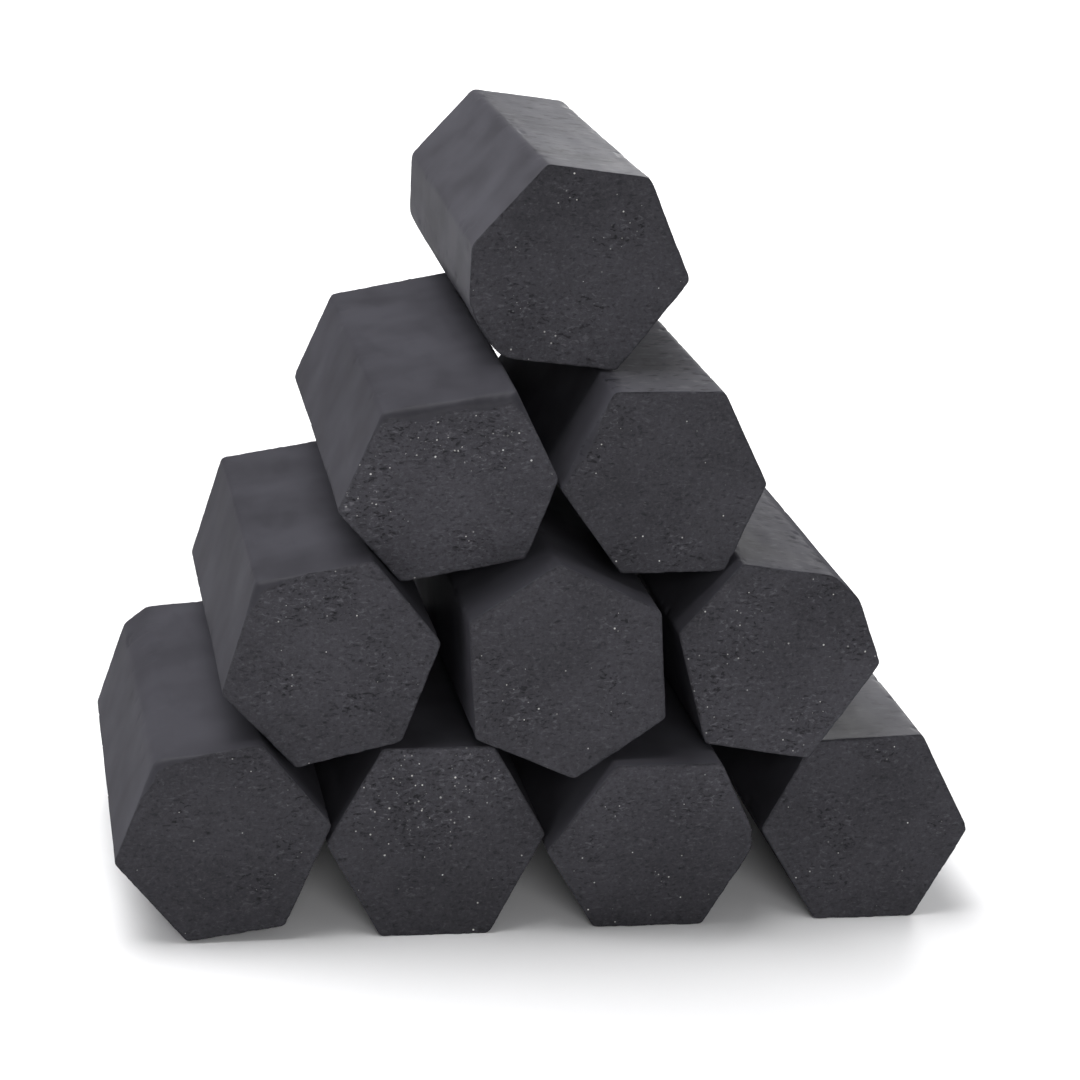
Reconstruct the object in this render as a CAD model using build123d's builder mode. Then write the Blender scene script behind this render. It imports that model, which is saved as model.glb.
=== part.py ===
from build123d import *
import os
from math import cos, radians, sin, sqrt, tan

# A loose pyramid of ten hexagonal charcoal sticks, four at the bottom and one on top.
# Millimetres and degrees. X is right, Y is back along the sticks and Z is up. The origin is on
# the floor, under the middle of the pile.

ACROSS_FLATS = 22.0
STICK_LENGTH = 50.0
CORNER_RADIUS = 0.8  # rounding of the six long edges
RIM_CHAMFER = 0.4  # worn rims of the two end faces
END_ALLOWANCE = 8.0  # extra length pressed at each end, which the end cuts remove
RESTING_GAP = 0.08  # height left open where one stick rests on another
FRONT_LINE = -32.3  # the line on the floor that the front ends are measured back from

# One line for each stick, lowest first, because a stick rests on the ones listed before it:
# its name, how far right it lies, how far back its front end is, how far it has rolled
# anticlockwise and turned to the left, how far its front cut leans back and faces right, and how
# much wider than the others it is across its flats.
STICKS = [
    ("bottom_mid_left_stick", -13.7, 2.5, 0, 0, 8, -4, 0),
    ("bottom_mid_right_stick", 11.8, 0.0, 0, 0, -8, 2, 0),
    ("bottom_right_stick", 37.7, 3.5, 0, 0, 8, -7, 0),
    ("bottom_left_stick", -37.9, 1.5, 9, 0, 3, 4, 0),
    ("second_left_stick", -26.0, 4.5, 12, 0, 4, 3, 0),
    ("second_middle_stick", 0.1, 1.5, 35, 0, 6, -3, 0),
    ("second_right_stick", 25.4, 3.5, -10, 0, 5, -5, 0),
    ("third_left_stick", -13.1, 7.5, 9, 0, -12, 5, 0),
    ("third_right_stick", 12.3, 7.0, 3, 0, 0, -8, 0),
    ("top_stick", 2.1, 16.0, -6.5, 1, 1, 3, 0.6),
]


def corner_reach(across_flats):
    """How far the corners of a hexagon are from its middle."""
    return across_flats / sqrt(3)


def corners(x, z, roll, across_flats):
    """The six corners of a stick's section, anticlockwise from the right-hand one."""
    reach = corner_reach(across_flats)
    turns = [radians(roll + 60 * corner) for corner in range(6)]
    return [(x + reach * cos(turn), z + reach * sin(turn)) for turn in turns]


def outline_heights(section, x):
    """The heights at which a section's outline passes x, or none if x is beside it."""
    heights = []
    for (x1, z1), (x2, z2) in zip(section, section[1:] + section[:1]):
        if x1 != x2 and min(x1, x2) <= x <= max(x1, x2):
            heights.append(z1 + (z2 - z1) * (x - x1) / (x2 - x1))
    return heights


def resting_height(section, supports):
    """How far a section drawn at height 0 is lifted to rest on the floor or the supports."""
    height = -min(z for x, z in section)
    for support in supports:
        for x, z in section:
            under = outline_heights(support, x)
            if under:
                height = max(height, max(under) - z + RESTING_GAP)
        for x, z in support:
            over = outline_heights(section, x)
            if over:
                height = max(height, z - min(over) + RESTING_GAP)
    return height


def press_stick(x, front, z, roll, turn, lean, slant, across_flats):
    """One solid stick, cut nearly square at the front and square at the back."""
    half = STICK_LENGTH / 2
    # The section lies across the middle of the stick, drawn as it looks from the front.
    across = Plane(origin=(x, front + half, z), x_dir=(1, 0, 0), z_dir=(0, -1, 0))
    across = across.rotated((0, turn, 0))
    with BuildPart() as charcoal:
        with BuildSketch(across) as section:
            RegularPolygon(corner_reach(across_flats), 6, rotation=roll)
            fillet(section.vertices(), CORNER_RADIUS)
        extrude(amount=half + END_ALLOWANCE, both=True)
        split(bisect_by=across.offset(half).rotated((-lean, slant, 0)), keep=Keep.BOTTOM)
        split(bisect_by=across.offset(-half), keep=Keep.TOP)
        along = charcoal.faces().sort_by(Axis(across.origin, across.z_dir))
        chamfer(along[0].edges() + along[-1].edges(), RIM_CHAMFER)
    return charcoal


os.makedirs("parts", exist_ok=True)

laid = []
for name, right, back, roll, turn, lean, slant, extra in STICKS:
    across = ACROSS_FLATS + extra
    # A turned stick sways to both sides along its length, and rests at its highest place.
    sway = STICK_LENGTH / 2 * tan(radians(turn))
    sections = [corners(right + side, 0, roll, across) for side in (-sway, sway)]
    height = max(resting_height(section, laid) for section in sections)
    laid.append(corners(right, height, roll, across))
    stick = press_stick(right, FRONT_LINE + back, height, roll, turn, lean, slant, across)
    stick.part.label = name
    export_step(stick.part, "parts/" + name + ".step")
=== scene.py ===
import itertools
from math import cos, pi, radians, sin

import bpy
import numpy as np
from mathutils import Matrix, Vector


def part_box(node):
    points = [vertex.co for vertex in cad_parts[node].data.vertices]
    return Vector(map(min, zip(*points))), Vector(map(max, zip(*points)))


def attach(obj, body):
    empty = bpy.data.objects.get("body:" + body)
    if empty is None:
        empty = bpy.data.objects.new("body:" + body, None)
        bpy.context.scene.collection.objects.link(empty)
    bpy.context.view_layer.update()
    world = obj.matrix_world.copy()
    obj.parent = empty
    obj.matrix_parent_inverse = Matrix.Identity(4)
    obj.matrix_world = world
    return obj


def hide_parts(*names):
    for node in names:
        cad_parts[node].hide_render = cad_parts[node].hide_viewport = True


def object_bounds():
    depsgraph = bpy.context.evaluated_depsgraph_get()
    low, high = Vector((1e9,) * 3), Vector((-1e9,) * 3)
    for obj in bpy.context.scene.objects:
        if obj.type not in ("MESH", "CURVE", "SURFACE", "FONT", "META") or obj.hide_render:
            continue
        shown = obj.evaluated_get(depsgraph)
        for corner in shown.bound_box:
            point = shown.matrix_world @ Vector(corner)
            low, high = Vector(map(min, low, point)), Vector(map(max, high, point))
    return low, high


# Looks for a loose pyramid of hexagonal charcoal sticks. Blender's unit is the metre. Inside the
# mesh code a stick is measured in millimetres in its own frame: u to the right and v up, both
# across the stick as seen from its front end, and w back along it from the front end. Noise sizes
# are in millimetres too.

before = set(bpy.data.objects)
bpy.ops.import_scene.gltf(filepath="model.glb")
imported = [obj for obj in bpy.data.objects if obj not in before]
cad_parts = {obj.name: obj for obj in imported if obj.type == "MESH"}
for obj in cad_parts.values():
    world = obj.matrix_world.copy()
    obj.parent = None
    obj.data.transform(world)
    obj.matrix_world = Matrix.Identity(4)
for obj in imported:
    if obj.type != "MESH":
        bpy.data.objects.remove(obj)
cad_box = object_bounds()

MM = 0.001
SEED = 7

# Mesh.
SIDE_STEPS = 72  # mesh steps along each of the six edges of an end face
ROW_STEP = 0.4  # mm between rows of the mesh along a stick
RIM_ROWS = 6  # rows that round the rim of an end face

# Pressed sides. Lengths are in mm.
HALF_WIDTH = 11  # from the centre line to a side
CORNER_POWER = 95  # how sharp the long edges are: a higher number is sharper
POWER_SPREAD = 0.25  # how much of that sharpness comes and goes along an edge
BEND = 0.6  # below 1, the sides reach the back end's outline sooner than evenly
BROAD_WAVE, NARROW_WAVE, SIDE_GRAIN = 0.05, 0.015, 0.006  # how far the sides are uneven
CHIP_DEPTH, CHIP_REACH = 0.45, 1.2  # the deepest chip, and how far from a long edge chips reach
CHIP_RARITY = 0.35  # how strong the noise has to be before it chips an edge

# Cut ends and their rims. Lengths are in mm.
HALF_HEIGHT = 12  # how high on a cut top_shade has its full effect
LEAST_RIM = 0.08  # the least rounding of a rim
SKIN_BORDER = 0.45  # over which the cut gives way to the pressed skin on a rim
RIM_PAINTED_SHADE = 0.25  # painted shade: how much darker the skin is made on a well-rounded rim
SWELL, TEAR_DEPTH = 0.12, 0.07  # how far the broad and the fine hollows of a cut are sunk
PIT_BORDER = 0.3  # over which the pits give way to the rim
BACK_PATCHES = 6  # loose patches on the unseen back cut

# Pits of a cut. Lengths are in mm.
PIT_TRIES = 600  # places tried for a pit on a cut whose pits value is 1
CUT_REACH = 13  # further out than any corner of a cut
SMALLEST_PIT, LARGEST_PIT = 0.07, 0.16  # radius
BIG_PIT_SHARE, BIG_PIT_EXTRA = 0.06, 0.12  # the share of larger ones, and their extra radius
LONGEST_PIT = 3.0  # length of the longest pits as a share of their width
PIT_DEPTHS = (0.4, 0.8)  # least and most depth as a share of the radius
PIT_TURN, PIT_TURN_SPREAD = 0.1, 0.35  # how far the long way of a pit is from level, in radians

# Colours and gloss.
DARK_SIDE, LIGHT_SIDE = (0.041, 0.040, 0.047, 1), (0.058, 0.057, 0.067, 1)
DARK_STREAK, PALE_STREAK = (0.016, 0.016, 0.019, 1), (0.085, 0.084, 0.093, 1)
DARK_CUT, MID_CUT = (0.015, 0.015, 0.016, 1), (0.034, 0.0332, 0.0385, 1)
# The second colour on the next line is a painted highlight, for the crests beside torn cracks.
PALE_CUT, CREST_HIGHLIGHT_COLOUR = (0.066, 0.0645, 0.074, 1), (0.090, 0.088, 0.098, 1)
# First on the next line: painted shade, for pits and torn cracks; then the colour of painted glints.
PAINTED_RECESS_SHADE, PAINTED_GLINT = (0.010, 0.010, 0.011, 1), (0.65, 0.64, 0.62, 1)
SIDE_GLOSS, CUT_GLOSS = 0.15, 0.15  # how much of the surface is glossy
SIDE_ROUGHNESS = 0.38
PAINTED_GLINT_CELL = 0.42  # mm between the places where a painted glint may be

# What sets each stick apart. cut_shade and side_shade lighten or darken its cut and its sides,
# top_shade lightens the upper part of the cut against the lower, pits says how rough its cut is
# and rim is how far its front rim is rounded, in mm. corners moves the long edges, in mm to the
# right and up: they are numbered anticlockwise from the right-hand one, and back_corners moves
# their back ends otherwise. blunt planes off an edge: its direction in degrees, and the planed
# face's distance from the centre line in mm. worn_rim rounds one stretch of the front rim: its
# direction and half width in degrees, and its extra radius. crumbly lists the loose patches of the
# front cut, as (right, up, radius) in mm. scratches says how marked its upper side is, gloss how
# much of its sides is glossy and side_roughness how dull that gloss is.
STICKS = {
    "bottom_left_stick": dict(
        cut_shade=0.95, top_shade=0.08, pits=0.8, rim=0.3, side_shade=0.92, gloss=0.1,
        blunt=[(129, 12.6)], worn_rim=[(129, 35, 0.8)],
        crumbly=[(3, 9, 2.5), (8, 6, 2.5), (7, 0, 2), (4, -5, 2.5), (-5, 4, 2)],
        corners={0: (-0.5, 0), 1: (-0.6, -0.2), 4: (0.3, 0.1), 5: (-1.1, -0.3)},
        back_corners={1: (-0.6, 0.2), 2: (-0.5, 1.0)}),
    "bottom_mid_left_stick": dict(
        cut_shade=1.05, top_shade=0.3, pits=1.5, rim=0.22,
        corners={0: (0.1, 0.6), 1: (0.2, 0.1)},
        crumbly=[(-4, 8, 3.5), (3, 8.5, 3), (8, 6.5, 2.5), (-8, 4, 3), (0, 2.5, 3.5), (-3, 1, 2.5),
                 (8, -4.5, 1.5), (-3, -5, 1.5)]),
    "bottom_mid_right_stick": dict(
        cut_shade=1.03, top_shade=0.25, pits=0.9, rim=0.25, blunt=[(0, 11.3)],
        crumbly=[(2.5, 4.5, 2.5), (-5, 5, 2.5), (6, 7, 2), (1, -5, 2), (-8, 0, 2)],
        corners={0: (-0.8, 0.2), 1: (0.3, -0.4), 2: (0.6, -0.4), 3: (-0.4, -0.5), 4: (-0.4, 0)}),
    "bottom_right_stick": dict(
        cut_shade=1.02, top_shade=0.05, pits=0.9, rim=0.22, gloss=0.11, scratches=0.35,
        corners={0: (0.0, -0.5), 1: (0.3, 0), 2: (-0.4, -0.5), 4: (0.5, 0)},
        crumbly=[(-5, 3, 2), (2.5, 8.7, 2), (-3.5, -6, 2.5), (-8, -5, 1.5), (9, 0, 1.5),
                 (-3, -1, 2)]),
    "second_left_stick": dict(
        cut_shade=1.16, top_shade=0.1, pits=0.9, rim=0.3, side_shade=0.93, gloss=0.1,
        worn_rim=[(132, 25, 1.0)],
        crumbly=[(0, 8, 3), (-5, 7, 3), (5, 1, 3), (2, -5, 3), (8, -2, 2), (-6, -2, 2)],
        corners={0: (-0.1, -0.2), 1: (0.5, 0.0), 2: (-0.3, 0.2), 3: (-0.1, -0.5), 5: (-0.4, 0.2)}),
    "second_middle_stick": dict(
        cut_shade=1.1, top_shade=0.0, pits=0.9, rim=0.25, gloss=0.03,
        crumbly=[(-9, 2, 2), (-8, -4, 3), (-3, -5, 2.5), (5, -1, 1.5), (6, -4, 2), (6, 6, 2)],
        corners={0: (0.4, -0.1), 1: (0.5, -0.2), 3: (0.3, 0.7), 4: (0.2, -0.2), 5: (0.4, 0.2)}),
    "second_right_stick": dict(
        cut_shade=1.14, top_shade=-0.12, pits=1.2, rim=0.28, gloss=0.04, scratches=0.6,
        blunt=[(50, 11.7)],
        crumbly=[(-6, 3, 4), (-8, -3, 3), (-6, -8, 2.5), (2, -10, 2.5), (4, -6, 2.5), (5, 8, 2),
                 (-2, 8, 2.5), (9, 2, 2)],
        corners={0: (-0.1, 1.7), 1: (0.3, 0), 2: (-0.4, -0.4), 3: (0.6, 1.2), 5: (0.0, 0.1)}),
    "third_left_stick": dict(
        cut_shade=1.3, top_shade=-0.1, pits=1.5, rim=0.3, side_shade=0.94, gloss=0.1,
        worn_rim=[(70, 30, 1.6), (110, 35, 1.6)],
        crumbly=[(-4, 7, 3), (1, 7.5, 3), (6, 6.5, 2.5), (-8.5, 3.5, 2.5), (-10, -1, 2.5),
                 (-7, -4, 2.5), (3, 4, 2), (2, -6.5, 2.5)],
        corners={0: (-0.1, -0.5), 1: (2.3, 0.2), 2: (-0.2, -0.2), 3: (0, -0.6), 4: (-0.2, 0.3),
                 5: (1.5, 1.2)},
        back_corners={0: (-0.1, 0), 1: (2.3, 1.9), 2: (0, 0.9), 3: (0, 2.0)}),
    "third_right_stick": dict(
        cut_shade=1.05, top_shade=-0.05, pits=0.8, rim=0.28, gloss=0.06, scratches=0.7,
        worn_rim=[(160, 35, 0.8)],
        crumbly=[(-7, 8, 2.5), (-9, 3, 2.5), (-5, -8, 2), (2, -8, 2.5), (9, -6, 2)],
        corners={0: (-1.4, -0.9), 1: (-0.2, -0.6), 2: (-0.3, 0), 3: (-0.2, 0), 4: (0.5, 0.4)},
        back_corners={0: (-1.4, -0.6), 1: (-0.9, -0.2)}),
    "top_stick": dict(
        cut_shade=1.1, top_shade=-0.2, pits=1.1, rim=0.25, side_shade=1.12, gloss=0.31,
        side_roughness=0.52, scratches=0.65, blunt=[(180, 12.5), (222, 13.4)],
        crumbly=[(-7, 2, 2), (-7, -4, 2.5), (-2, -8, 2.5), (3, 3, 2), (-2, 8, 2), (6, 5, 2),
                 (1, -4, 2)],
        corners={0: (0.2, 0.3), 1: (-0.2, 0.1), 2: (0.8, -0.3), 3: (-1.8, -1.9), 4: (-1.6, -0.1)},
        back_corners={0: (-0.6, 0.3), 1: (-1.0, 0.1), 2: (0.1, -0.3), 3: (-2.3, -1.5),
                      4: (-1.0, 0), 5: (-0.6, 0)}),
}

rng = np.random.default_rng(SEED)
LATTICE_SIZE = 48
LATTICE = rng.uniform(-1, 1, (LATTICE_SIZE,) * 3)


def noise(points, size, shift=0.0):
    """Smooth random values from -1 to 1 at points, an N x 3 array, with lumps about size wide."""
    scaled = points / size + shift
    cell = np.floor(scaled).astype(int)
    part = scaled - cell
    part = part * part * (3 - 2 * part)
    total = np.zeros(len(points))
    for corner in itertools.product((0, 1), repeat=3):
        weight = np.prod(np.where(corner, part, 1 - part), axis=1)
        a, b, c = ((cell + corner) % LATTICE_SIZE).T
        total += weight * LATTICE[a, b, c]
    return total


def rough(points, size, shift=0.0):
    """Noise with finer and weaker noise added to it, from about -1 to 1."""
    return (noise(points, size, shift) + noise(points, size / 2, shift + 9.7) / 2) / 1.4


# ---------------------------------------------------------------- outlines and the CAD sticks


def flat_faces(node):
    """The eight flat faces of a CAD stick, as (unit normal, distance from the origin) in mm."""
    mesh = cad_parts[node].data
    found = {}
    for face in mesh.polygons:
        key = tuple(round(c, 2) for c in face.normal)
        area, normal, offset = found.get(key, (0.0, None, 0.0))
        if face.area > area:
            normal, offset = np.array(face.normal), face.normal.dot(face.center) / MM
        found[key] = (area + face.area, normal, offset)
    largest = sorted(found.values(), key=lambda item: -item[0])[:8]
    return [(normal, offset) for _, normal, offset in largest]


def meeting_point(first, second):
    """Where two side faces meet, each given by its direction and distance from the middle."""
    (a1, d1), (a2, d2) = first, second
    sides = np.array([[np.cos(a1), np.sin(a1)], [np.cos(a2), np.sin(a2)]])
    return np.linalg.solve(sides, (d1, d2))


def side_flats(corners):
    """The direction and distance from the middle of the side that starts at each corner."""
    along = np.roll(corners, -1, axis=0) - corners
    direction = np.arctan2(-along[:, 0], along[:, 1])
    distance = corners[:, 0] * np.cos(direction) + corners[:, 1] * np.sin(direction)
    return np.stack([np.unwrap(direction), distance], 1)


def sharp_outline(angle, flats):
    """Distance from the centre line to the outline with sharp corners, for each angle."""
    facing = np.cos(angle[:, None] - flats[:, 0])
    reach = flats[:, 1] / np.where(facing > 0.05, facing, 0.05)
    return reach.min(axis=1)


def rounded_outline(angle, flats, power):
    """Distance from the centre line to a rounded outline, for each angle."""
    total = 0
    for direction, distance in flats:
        facing = np.maximum(np.cos(angle - direction), 0.05)
        total = total + (facing / distance) ** power
    return total ** (-1 / power)


def edge_distance(angle, flats):
    """About how far points of the outline are from the nearest long edge, in mm."""
    nearness = np.sort([np.cos(angle - direction) / distance for direction, distance in flats], 0)
    # At an edge, two sides are equally near.
    return HALF_WIDTH * (1 - nearness[-2] / nearness[-1])


def round_points(angle, reach, w):
    """Points at a distance from the centre line, as an N x 3 array of u, v and w."""
    return np.stack([np.cos(angle) * reach, np.sin(angle) * reach, w], 1)


class Stick:
    """A stick's place and outline, read from its CAD node."""

    def __init__(self, node):
        faces = sorted(flat_faces(node), key=lambda face: face[0][1])
        self.front, back, sides = faces[0], faces[-1], faces[1:-1]
        low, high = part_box(node)
        middle = np.array((low + high) / 2) / MM
        self.along = back[0]
        self.right = np.cross(self.along, (0, 0, 1))
        self.right /= np.linalg.norm(self.right)
        self.up = np.cross(self.right, self.along)
        # The middle of the back end, where the stick's centre line meets the back face.
        self.end = middle + self.along * (back[1] - back[0] @ middle)
        flats = []
        for normal, offset in sides:
            angle = np.arctan2(normal @ self.up, normal @ self.right) % (2 * pi)
            flats.append((angle, offset - normal @ self.end))
        flats.sort()
        corners = [meeting_point(flats[k - 1], flats[k]) for k in range(6)]
        # The right-hand corner comes first.
        first = int(np.argmax([corner[0] for corner in corners]))
        self.corners = np.roll(corners, -first, axis=0)

    def moved_corners(self, moves):
        """The six sharp corners with some of them moved."""
        corners = self.corners.copy()
        for number, move in moves.items():
            corners[number] += move
        return corners

    def front_cut(self, u, v):
        """Where the front cut is at points across the stick, in mm past the back end: below 0."""
        normal, offset = self.front
        across = (normal @ self.right) * u + (normal @ self.up) * v
        return (offset - normal @ self.end - across) / (normal @ self.along)

    def place(self, u, v, past_end):
        """Points in metres, past_end mm past the back end: below 0 for points in front of it."""
        mm = self.end + np.outer(u, self.right) + np.outer(v, self.up)
        return (mm + np.outer(past_end, self.along)) * MM


# ---------------------------------------------------------------- surface of a stick


def end_grid(corners):
    """Points and quads that fill a hexagon with three even patches, and its rim in order."""
    steps = np.linspace(0, 1, SIDE_STEPS + 1)
    s, t = (a.ravel() for a in np.meshgrid(steps, steps, indexing="ij"))
    points, quads = [], []
    for patch in range(3):
        first, far, last = (corners[(2 * patch + i) % 6] for i in range(3))
        grid = np.outer(s * (1 - t), first) + np.outer(s * t, far) + np.outer((1 - s) * t, last)
        points.append(grid)
        index = patch * len(grid) + np.arange(len(grid)).reshape(SIDE_STEPS + 1, -1)
        quad = np.stack([index[:-1, :-1], index[1:, :-1], index[1:, 1:], index[:-1, 1:]], -1)
        quads.append(quad.reshape(-1, 4))
    points, quads = np.concatenate(points), np.concatenate(quads)
    _, keep, merged = np.unique(points.round(6), axis=0, return_index=True, return_inverse=True)
    points, quads = points[keep], merged.ravel()[quads]
    # The rim runs from corner 0 through every corner, anticlockwise.
    rim = []
    for near, far in zip(corners, np.roll(corners, -1, axis=0)):
        for step in steps[:-1]:
            target = near + (far - near) * step
            rim.append(int(np.argmin(((points - target) ** 2).sum(1))))
    return points, quads, np.array(rim)


def bump_at(angle, centre, half_width):
    """1 at the direction centre, falling smoothly to 0 at half_width degrees to each side."""
    away = np.abs((angle - radians(centre) + pi) % (2 * pi) - pi) / radians(half_width)
    return np.where(away < 1, (1 + np.cos(pi * np.minimum(away, 1))) / 2, 0)


def crumbliness(u, v, patches):
    """How loose a cut is at points on it, from 0 to 1: patches holds (right, up, radius) in mm."""
    total = np.zeros(len(u))
    for right, up, radius in patches:
        total += np.exp(-((u - right) ** 2 + (v - up) ** 2) / radius**2)
    return np.minimum(total, 1)


def pit_depths(u, v, amount, patches, draw):
    """Depth of the pits of a cut face at points on it, in mm: most are in its loose patches."""
    depth = np.zeros(len(u))
    ragged = 0.9 * noise(np.stack([u, v, np.zeros(len(u))], 1), 0.3, 2.3)
    tries = int(PIT_TRIES * amount)
    centres = draw.uniform(-CUT_REACH, CUT_REACH, (tries, 2))
    spots = np.concatenate([centres, np.zeros((tries, 1))], 1)
    likely = 0.2 + 0.45 * crumbliness(*centres.T, patches) + 0.3 * noise(spots, 1.7, 3.1)
    for centre in centres[likely > draw.uniform(0, 1, tries)]:
        size = draw.uniform(SMALLEST_PIT, LARGEST_PIT)
        if draw.random() < BIG_PIT_SHARE:
            size += draw.uniform(0, BIG_PIT_EXTRA)
        stretch = draw.uniform(1.0, LONGEST_PIT)
        turn = draw.normal(PIT_TURN, PIT_TURN_SPREAD)
        du, dv = u - centre[0], v - centre[1]
        near = np.abs(du) + np.abs(dv) < 4 * size * stretch
        lengthwise = (du[near] * np.cos(turn) + dv[near] * np.sin(turn)) / stretch
        sideways = dv[near] * np.cos(turn) - du[near] * np.sin(turn)
        reach = (lengthwise**2 + sideways**2) / size**2 + ragged[near]
        pit = np.clip(1.3 * (1 - reach), 0, 1) * size * draw.uniform(*PIT_DEPTHS)
        depth[near] = np.maximum(depth[near], pit)
    return depth


class Surface:
    """The points, quads and layers of one stick: pressed sides, rims and two granular cuts.

    The layers say of each point how much it belongs to a cut, how deep in a pit it is, how light
    it is, with painted shade on rounded rims, and, on a cut, how loose the charcoal is or, on the
    sides, whether it is on the uppermost one. An end is named by front, which is True or False.
    """

    def __init__(self, name, traits):
        self.draw = np.random.default_rng(SEED + list(STICKS).index(name) + 1)
        self.shift = self.draw.uniform(0, 40)
        self.stick, self.traits = Stick(name), traits
        moves = traits.get("corners", {})
        corners = self.stick.moved_corners(moves)
        back_corners = self.stick.moved_corners({**moves, **traits.get("back_corners", {})})
        self.front_flats, self.back_flats = side_flats(corners), side_flats(back_corners)
        self.blunt = [(radians(turn), distance) for turn, distance in traits.get("blunt", [])]
        self.patches = {True: traits["crumbly"], False: self.random_patches()}
        self.length = -self.stick.front_cut(0.0, 0.0)

        grid, self.quads, self.rim = end_grid(corners)
        self.angle = np.arctan2(grid[:, 1], grid[:, 0])
        self.part = np.linalg.norm(grid, axis=1) / sharp_outline(self.angle, self.front_flats)
        self.rim_angle = self.angle[self.rim]
        self.points, self.layers = [], {"cut": [], "hollow": [], "tone_and_painted_shade": [], "crumb": []}
        self.faces = self.build()

    def random_patches(self):
        """Loose patches for the back cut, which the photo doesn't show."""
        draw = self.draw
        return [(*draw.uniform(-9, 9, 2), draw.uniform(2, 3.5)) for _ in range(BACK_PATCHES)]

    def build(self):
        """Adds all points from front to back, and returns the quads between them."""
        front_radius, back_radius = (self.rim_radius(self.rim_angle, end) for end in (True, False))
        front_cap = self.add_cap(True)
        rows = [self.add_rim_row(step, front_radius, True) for step in range(1, RIM_ROWS + 1)]
        rows += self.add_side_rows(front_radius, back_radius)
        rows += [self.add_rim_row(step, back_radius, False) for step in range(RIM_ROWS, 0, -1)]
        back_cap = self.add_cap(False)
        ring = np.arange(len(self.rim))
        rings = [front_cap + self.rim, *(first + ring for first in rows), back_cap + self.rim]
        bands = [np.stack([near, far, np.roll(far, -1), np.roll(near, -1)], 1)
                 for near, far in itertools.pairwise(rings)]
        return np.concatenate([front_cap + self.quads, *bands, back_cap + self.quads[:, ::-1]])

    def add(self, points, *values):
        """Adds points with a value of each layer, and returns the number of the first."""
        first = sum(len(added) for added in self.points)
        self.points.append(points)
        for layer, value in zip(self.layers.values(), values):
            layer.append(np.broadcast_to(value, len(points)).astype(np.float32))
        return first

    def rim_radius(self, angle, front):
        """How far the rim of an end is rounded, for each angle."""
        ring = round_points(angle, 12, np.full(len(angle), 12.0 * front))
        uneven = 1 + 0.5 * noise(ring, 1.6, self.shift) + 0.4 * noise(ring, 0.5, self.shift)
        radius = self.traits["rim"] * uneven
        if front:
            for centre, half_width, extra in self.traits.get("worn_rim", []):
                radius = radius + extra * bump_at(angle, centre, half_width)
        return np.maximum(radius, LEAST_RIM)

    def section(self, angle, w):
        """Outline of the pressed sides at a distance behind the front end."""
        worn = 1 + noise(round_points(angle, 9, w), 7.0, self.shift)
        power = CORNER_POWER * (1 - POWER_SPREAD * worn)
        back_share = np.clip(w / self.length, 0, 1) ** BEND
        flats = [(front[0] + (back[0] - front[0]) * back_share,
                  front[1] + (back[1] - front[1]) * back_share)
                 for front, back in zip(self.front_flats, self.back_flats)]
        flats += self.blunt
        reach = rounded_outline(angle, flats, power)
        spot = round_points(angle, reach, w)
        broad, narrow = noise(spot, 14.0, self.shift) - 1, noise(spot, 3.5, self.shift) - 1
        wave = BROAD_WAVE * broad + NARROW_WAVE * narrow
        fine = SIDE_GRAIN * rough(spot * (1, 1, 0.35), 0.9, self.shift)
        chipped = np.clip(noise(spot, 1.3, self.shift + 5) - CHIP_RARITY, 0, 1)
        at_edge = np.clip(1 - edge_distance(angle, flats) / CHIP_REACH, 0, 1)
        return reach + wave + fine - chipped * at_edge * CHIP_DEPTH

    def relief(self, u, v, front):
        """How far the torn surface of a cut is sunk below its plane."""
        spot = np.stack([u, v, np.full(len(u), 50.0 * front)], 1)
        swell = SWELL * (1 - noise(spot, 6.0, self.shift))
        loose = crumbliness(u, v, self.patches[front])
        torn = np.clip(0.35 + 0.8 * loose + 0.4 * noise(spot, 4.0, self.shift + 7), 0.15, 1.3)
        return swell + TEAR_DEPTH * torn * (1 - rough(spot * (0.6, 1, 1), 0.75, self.shift))

    def add_cap(self, front):
        """Adds one end face, with its rim drawn in by the rim's radius."""
        edge = self.section(self.angle, np.full(len(self.angle), 0.0 if front else self.length))
        edge = edge - self.rim_radius(self.angle, front)
        u, v = (self.part * edge * way(self.angle) for way in (np.cos, np.sin))
        inward = np.clip(edge * (1 - self.part) / PIT_BORDER, 0, 1)
        patches = self.patches[front]
        pits = pit_depths(u, v, self.traits["pits"], patches, self.draw) * inward
        sunk = self.relief(u, v, front) + pits
        place = self.stick.place(u, v, self.stick.front_cut(u, v) + sunk if front else -sunk)
        tones = 1 + self.traits["top_shade"] * v / HALF_HEIGHT
        return self.add(place, 1.0, pits, tones, crumbliness(u, v, patches))

    def add_rim_row(self, step, radius, front):
        """Adds one of the rings that round a rim: the first is next to the cap."""
        turn = step / RIM_ROWS * pi / 2
        inset = radius * (1 - np.cos(turn))
        reach = self.section(self.rim_angle, inset if front else self.length - inset)
        reach = reach - radius * (1 - np.sin(turn))
        u, v = reach * np.cos(self.rim_angle), reach * np.sin(self.rim_angle)
        inset = inset + self.relief(u, v, front) * (1 - (step / RIM_ROWS) ** 4)
        place = self.stick.place(u, v, self.stick.front_cut(u, v) + inset if front else -inset)
        # The pressed skin reaches to a little way from the cut, however far the rim is rounded.
        cut_share = np.clip(1.5 - radius * turn / SKIN_BORDER, 0, 1)
        tones = 1 + self.traits["top_shade"] * v / HALF_HEIGHT * (1 - step / RIM_ROWS)
        # Painted shade: the skin is darkened where the rim is rounded, to damp the highlight it
        # catches.
        tones = tones - RIM_PAINTED_SHADE * np.sin(2 * turn) * np.clip(radius, 0, 1)
        return self.add(place, cut_share, 0.0, tones, crumbliness(u, v, self.patches[front]))

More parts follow.
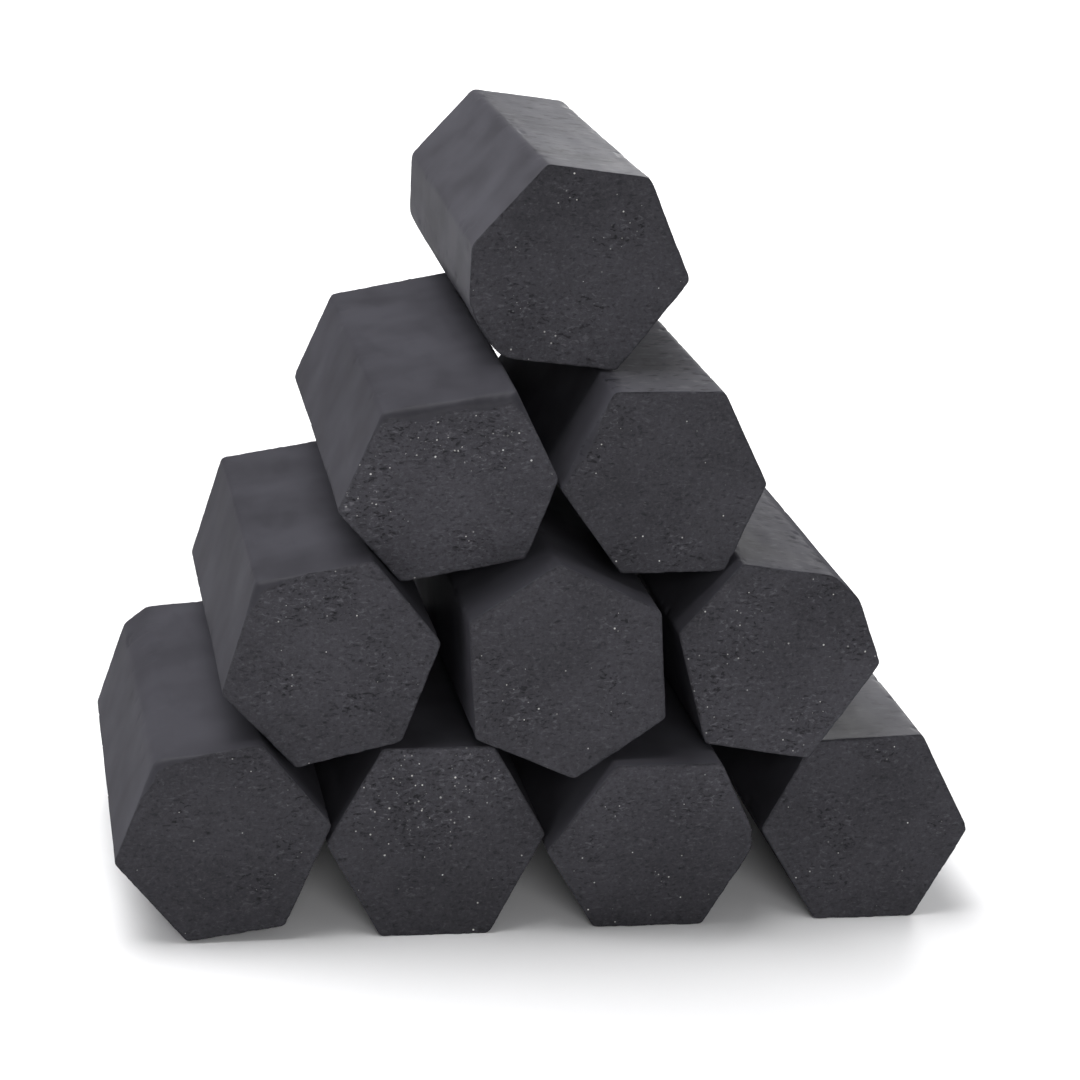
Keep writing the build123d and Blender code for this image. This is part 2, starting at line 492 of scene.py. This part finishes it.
    def add_side_rows(self, front_radius, back_radius):
        """Adds the rings between the rims, which share the stick's length evenly."""
        upper_side = self.upper_side()
        count = int(self.length / ROW_STEP)
        rows = []
        for i in range(1, count):
            share = i / count
            between = self.length - front_radius - back_radius
            reach = self.section(self.rim_angle, front_radius + between * share)
            u, v = reach * np.cos(self.rim_angle), reach * np.sin(self.rim_angle)
            first, last = self.stick.front_cut(u, v) + front_radius, -back_radius
            place = self.stick.place(u, v, first * (1 - share) + last * share)
            rows.append(self.add(place, 0.0, 0.0, 1.0, upper_side))
        return rows

    def upper_side(self):
        """1 for the rim's points that lie along the uppermost side, and 0 for the others."""
        nearness = np.cos(self.rim_angle[:, None] - self.front_flats[:, 0]) / self.front_flats[:, 1]
        uppermost = int(np.argmax(np.sin(self.front_flats[:, 0])))
        return (nearness.argmax(axis=1) == uppermost).astype(float)


def add_object(name, data):
    """A new object in the scene."""
    thing = bpy.data.objects.new(name, data)
    bpy.context.scene.collection.objects.link(thing)
    return thing


def build_stick(name, traits):
    """The visible piece of one stick."""
    surface = Surface(name, traits)
    points, faces = np.concatenate(surface.points), surface.faces
    mesh = bpy.data.meshes.new(name + "_charcoal")
    mesh.vertices.add(len(points))
    mesh.vertices.foreach_set("co", points.astype(np.float32).ravel())
    mesh.loops.add(faces.size)
    mesh.loops.foreach_set("vertex_index", faces.astype(np.int32).ravel())
    mesh.polygons.add(len(faces))
    mesh.polygons.foreach_set("loop_start", np.arange(0, faces.size, 4, dtype=np.int32))
    mesh.polygons.foreach_set("use_smooth", np.ones(len(faces), bool))
    for label, values in surface.layers.items():
        layer = mesh.attributes.new(label, "FLOAT", "POINT")
        layer.data.foreach_set("value", np.concatenate(values))
    mesh.update(calc_edges=True)
    mesh.validate()
    return add_object(name + "_charcoal", mesh)


# ---------------------------------------------------------------- material


class Nodes:
    """Short calls for building a node tree. A value may be a number or another node's output."""

    # The number of the first of a mix node's two values, and of its output, for each kind.
    MIX_SOCKETS = {"FLOAT": (2, 0), "RGBA": (6, 2)}

    def __init__(self, material):
        material.use_nodes = True
        self.tree = material.node_tree
        self.tree.nodes.clear()

    def put(self, value, socket):
        """Joins an output to a socket, or sets the socket to a number."""
        if isinstance(value, bpy.types.NodeSocket):
            self.tree.links.new(value, socket)
        else:
            socket.default_value = value

    def add(self, kind, settings=None, **inputs):
        node = self.tree.nodes.new(kind)
        for key, value in (settings or {}).items():
            setattr(node, key, value)
        for key, value in inputs.items():
            self.put(value, node.inputs[key.replace("_", " ")])
        return node

    def math(self, operation, a, b):
        node = self.add("ShaderNodeMath", dict(operation=operation))
        self.put(a, node.inputs[0])
        self.put(b, node.inputs[1])
        return node.outputs[0]

    def ramp(self, value, low, high, to_low=0.0, to_high=1.0):
        """Takes low to to_low, high to to_high and the rest in proportion, but not past them."""
        node = self.add("ShaderNodeMapRange", Value=value)
        for socket, number in zip(node.inputs[1:5], (low, high, to_low, to_high)):
            self.put(number, socket)
        return node.outputs[0]

    def mix(self, share, a, b, kind="RGBA"):
        """Colour a with a share of colour b in it, or the same for two numbers."""
        node = self.add("ShaderNodeMix", dict(data_type=kind))
        first, output = self.MIX_SOCKETS[kind]
        for number, value in ((0, share), (first, a), (first + 1, b)):
            self.put(value, node.inputs[number])
        return node.outputs[output]

    def layer(self, name):
        """The value of one of the mesh's layers."""
        return self.add("ShaderNodeAttribute", dict(attribute_name=name)).outputs["Fac"]


class Patterns:
    """The patterns that one stick's colours, heights and gloss are worked out from."""

    def __init__(self, n, traits):
        self.n = n
        self.place = n.add("ShaderNodeTexCoord").outputs["Object"]
        self.cloud = self.noise(self.place, 10, 2)
        self.mottle = self.noise(self.place, 2.4, 3, 0.6)
        self.grain = self.noise(self.place, 0.45, 3, 0.75)
        self.rubble = self.noise(self.stretched((0.6, 1, 1), 67), 0.8, 1)
        self.side_mottle = self.noise(self.stretched((1, 0.35, 1), 5), 2.6, 3, 0.6)

        # How loose the cut is: its patches, made uneven.
        crumb = n.layer("crumb")
        patch = self.noise(self.stretched((1, 1, 1), 23), 4.0, 2)
        self.loose = n.math("ADD", crumb, n.ramp(patch, 0.3, 0.7, -0.35, 0.35))

        # Torn cracks, with painted shade in them, and painted highlights on the crests beside them.
        self.tears = self.noise(self.stretched((0.5, 1, 1), 41), 0.36, 2, 0.6, 0.6)
        torn = n.ramp(self.loose, 0.1, 0.9, 0.5, 1.0)
        self.stroke = n.math("MULTIPLY", n.ramp(self.tears, 0.40, 0.33), torn)
        self.painted_crest_highlight = n.math("MULTIPLY", n.ramp(self.tears, 0.58, 0.70), torn)

        # Streaks along the upper side of some sticks.
        self.scratched = "scratches" in traits
        if self.scratched:
            self.marked = n.math("MULTIPLY", crumb, traits["scratches"])
            self.streaks = self.noise(self.stretched((0.3, 0.5, 1), 13), 0.6, 2, 0.6)

    def stretched(self, scale, shift):
        """Coordinates that draw a pattern out by 1/scale each way and move it by shift mm."""
        location = (shift * MM,) * 3
        mapping = self.n.add("ShaderNodeMapping", Vector=self.place, Scale=scale, Location=location)
        return mapping.outputs[0]

    def noise(self, where, size_mm, detail, roughness=0.5, distortion=0.0):
        return self.n.add("ShaderNodeTexNoise", Vector=where, Scale=1 / (size_mm * MM), Detail=detail,
                          Roughness=roughness, Distortion=distortion).outputs[0]


def shaded(colour, shade):
    """A colour made lighter or darker."""
    return (*(c * shade for c in colour[:3]), 1)


def side_colour(n, p, shade):
    """Pressed skin: softly clouded, and on some sticks marked by dark and pale streaks."""
    dark, light = shaded(DARK_SIDE, shade), shaded(LIGHT_SIDE, shade)
    colour = n.mix(n.ramp(p.cloud, 0.35, 0.65), dark, light)
    colour = n.mix(n.ramp(p.side_mottle, 0.35, 0.75, 0, 0.4), colour, light)
    colour = n.mix(n.ramp(p.side_mottle, 0.45, 0.25, 0, 0.4), colour, dark)
    if p.scratched:
        dark_share = n.math("MULTIPLY", p.marked, n.ramp(p.streaks, 0.43, 0.31))
        colour = n.mix(dark_share, colour, DARK_STREAK)
        pale_share = n.math("MULTIPLY", p.marked, n.ramp(p.streaks, 0.56, 0.70))
        colour = n.mix(pale_share, colour, PALE_STREAK)
    return colour


def cut_colour(n, p, shade):
    """Torn charcoal: grey grains, painted highlights by torn cracks, painted shade in cracks and pits.
    """
    dark, mid, pale, crumb = (shaded(c, shade) for c in (DARK_CUT, MID_CUT, PALE_CUT, CREST_HIGHLIGHT_COLOUR))
    colour = n.mix(n.ramp(p.cloud, 0.35, 0.65, 0.0, 0.25), mid, pale)
    colour = n.mix(n.ramp(p.mottle, 0.40, 0.7, 0.0, 0.2), colour, dark)
    colour = n.mix(n.ramp(p.grain, 0.50, 0.72, 0, 0.45), colour, pale)
    colour = n.mix(n.ramp(p.grain, 0.45, 0.28, 0, 0.5), colour, dark)
    # Painted highlights on the crests beside torn cracks, and painted shade in the cracks.
    colour = n.mix(n.math("MULTIPLY", p.painted_crest_highlight, 0.65), colour, crumb)
    colour = n.mix(n.math("MULTIPLY", p.stroke, 0.7), colour, PAINTED_RECESS_SHADE)
    # Painted shade in the pits: the deeper a pit, the darker it is painted.
    return n.mix(n.ramp(n.layer("hollow"), 0.02, 0.16, 0, 0.8), colour, PAINTED_RECESS_SHADE)


def painted_glints(n, p, crowding):
    """Painted glints: soft bright spots in a random share of small cells, most in the loose patches.
    """
    where = p.stretched((1, 1, 1), 31)
    cells = n.add("ShaderNodeTexVoronoi", Vector=where, Scale=1 / (PAINTED_GLINT_CELL * MM))
    random = n.add("ShaderNodeSeparateColor", Color=cells.outputs["Color"])
    share = n.ramp(p.loose, 0.2, 1.0, 0.012, 0.13 * crowding)
    picked = n.math("LESS_THAN", random.outputs[0], share)
    reach = n.ramp(random.outputs[1], 0, 1, 0.08, 0.22 + 0.10 * crowding)
    inside = n.math("SUBTRACT", 1, n.math("DIVIDE", cells.outputs["Distance"], reach))
    spots = n.math("MULTIPLY", picked, n.ramp(inside, 0, 0.5))
    return spots, n.ramp(random.outputs[2], 0, 1, 0.1, 0.9)


def relief_height(n, p, share):
    """Height of the surface in mm, about 0 on average so that no step shows at a rim."""
    grain, tears = (n.math("SUBTRACT", value, 0.5) for value in (p.grain, p.tears))
    cut = n.math("ADD", n.math("MULTIPLY", grain, 0.10), n.math("MULTIPLY", tears, 0.10))
    cut = n.math("SUBTRACT", cut, n.math("MULTIPLY", p.stroke, 0.06))
    cut = n.math("MULTIPLY", cut, n.ramp(p.loose, 0, 1, 0.6, 1.3))
    side = n.math("MULTIPLY", grain, 0.004)
    if p.scratched:
        streaks = n.math("MULTIPLY", p.marked, n.math("MULTIPLY", p.streaks, 0.03))
        side = n.math("ADD", side, streaks)
    return n.mix(share, side, cut, "FLOAT")


def charcoal(name, traits):
    """Pressed charcoal: satin sides, and a dull granular cut with painted pit shade and a few painted
    glints.
    """
    material = bpy.data.materials.new(name)
    n = Nodes(material)
    p = Patterns(n, traits)

    # The share of the cut against the sides. On a worn rim the two meet unevenly.
    uneven = n.math("MULTIPLY", n.math("SUBTRACT", p.rubble, 0.5), 1.1)
    share = n.ramp(n.math("ADD", n.layer("cut"), uneven), 0.35, 0.65)

    side = side_colour(n, p, traits.get("side_shade", 1.0))
    base = n.mix(share, side, cut_colour(n, p, traits["cut_shade"]))
    scaled = n.add("ShaderNodeVectorMath", dict(operation="SCALE"), Vector=base, Scale=n.layer("tone_and_painted_shade"))
    # Painted glints: pale spots of colour on the cut that stand in for glints of light.
    spots, brightness = painted_glints(n, p, traits["pits"])
    painted_glint = n.math("MULTIPLY", n.math("MULTIPLY", spots, share), brightness)
    colour = n.mix(painted_glint, scaled.outputs[0], PAINTED_GLINT)

    middling = traits.get("side_roughness", SIDE_ROUGHNESS)
    side_rough = n.ramp(p.side_mottle, 0.3, 0.7, middling - 0.05, middling + 0.07)
    cut_rough = n.ramp(p.grain, 0.3, 0.7, 0.60, 0.80)
    roughness = n.mix(share, side_rough, cut_rough, "FLOAT")
    height = relief_height(n, p, share)
    normal = n.add("ShaderNodeBump", Strength=1.0, Distance=MM, Height=height).outputs[0]

    # Charcoal shines less at a glance than a smooth solid would: only part of it is glossy.
    dull = n.add("ShaderNodeBsdfPrincipled", Base_Color=colour, Roughness=1.0,
                 Specular_IOR_Level=0.0, Normal=normal)
    glossy = n.add("ShaderNodeBsdfPrincipled", Base_Color=colour, Roughness=roughness, Normal=normal)
    gloss = n.ramp(share, 0, 1, traits.get("gloss", SIDE_GLOSS), CUT_GLOSS)
    shader = n.add("ShaderNodeMixShader", Fac=gloss)
    n.put(dull.outputs[0], shader.inputs[1])
    n.put(glossy.outputs[0], shader.inputs[2])
    n.add("ShaderNodeOutputMaterial", Surface=shader.outputs[0])
    return material


for name, traits in STICKS.items():
    piece = build_stick(name, traits)
    piece.data.materials.append(charcoal(name + "_charcoal", traits))
    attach(piece, name)
    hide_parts(name)


# ---------------------------------------------------------------- floor, light and camera

FLOOR_HALF = 3.0
FLOOR_COLOUR = (0.86, 0.86, 0.87, 1)
WORLD_STRENGTH = 0.25

# How far each soft box is from the pile, how far right of straight back and how high it stands in
# degrees, its width and height in metres, and its power in watts.
LIGHTS = {
    "top_light": (1.0, -50, 72, 0.8, 0.7, 13),
    "back_right_light": (1.0, 26, 12, 0.38, 0.30, 6.5),
    "left_light": (1.0, -75, 33, 0.5, 0.5, 1.6),
    "front_fill": (1.3, 178, 18, 0.7, 0.5, 6.6),
}

# The camera stands left of the pile and looks to the right of straight back, down and a little
# askew, as the photo does.
CAMERA_PLACE = (-0.0649, -0.3387, 0.1498)
CAMERA_TURN, CAMERA_DOWN, CAMERA_ROLL = -11.24, 18.0, 3.06  # degrees
LENS_MM, SENSOR_MM = 99, 36


def make_floor():
    """A plain pale sheet that the pile stands on."""
    mesh = bpy.data.meshes.new("floor")
    corners = [(-1, -1), (1, -1), (1, 1), (-1, 1)]
    points = [(FLOOR_HALF * x, FLOOR_HALF * y, 0) for x, y in corners]
    mesh.from_pydata(points, [], [(0, 1, 2, 3)])
    material = bpy.data.materials.new("pale_floor")
    n = Nodes(material)
    shader = n.add("ShaderNodeBsdfPrincipled", Base_Color=FLOOR_COLOUR, Roughness=0.8)
    n.add("ShaderNodeOutputMaterial", Surface=shader.outputs[0])
    mesh.materials.append(material)
    floor = add_object("floor", mesh)


def soft_box(name, place, width, height, power, target):
    """A flat rectangular light that faces a target."""
    light = bpy.data.lights.new(name, "AREA")
    light.shape = "RECTANGLE"
    light.size, light.size_y = width, height
    light.energy = power
    holder = add_object(name, light)
    holder.location = place
    holder.rotation_euler = (Vector(target) - Vector(place)).to_track_quat("-Z", "Y").to_euler()


def make_lights(heart):
    """The soft boxes, which stand round the middle of the pile."""
    for name, (distance, around, height, wide, tall, power) in LIGHTS.items():
        around, height = radians(around), radians(height)
        level = cos(height) * distance
        away = Vector((sin(around) * level, cos(around) * level, sin(height) * distance))
        soft_box(name, heart + away, wide, tall, power, heart)


def make_world(scene):
    """Plain faint light from every side."""
    scene.world = bpy.data.worlds.new("studio")
    scene.world.use_nodes = True
    background = scene.world.node_tree.nodes["Background"]
    background.inputs["Color"].default_value = (1, 1, 1, 1)
    background.inputs["Strength"].default_value = WORLD_STRENGTH


def make_camera(scene):
    """A camera at the photo's viewing angle."""
    lens = bpy.data.cameras.new("camera")
    lens.sensor_width = SENSOR_MM
    lens.lens = LENS_MM
    lens.clip_start = 0.01
    camera = add_object("camera", lens)
    camera.location = CAMERA_PLACE
    turned = Matrix.Rotation(radians(CAMERA_TURN), 3, "Z")
    tipped = Matrix.Rotation(pi / 2 - radians(CAMERA_DOWN), 3, "X")
    rolled = Matrix.Rotation(radians(CAMERA_ROLL), 3, "Z")
    camera.rotation_euler = (turned @ tipped @ rolled).to_euler()
    scene.camera = camera


low, high = cad_box
make_floor()
make_lights((low + high) / 2)
make_world(bpy.context.scene)
make_camera(bpy.context.scene)
bpy.context.scene.view_settings.view_transform = "Standard"
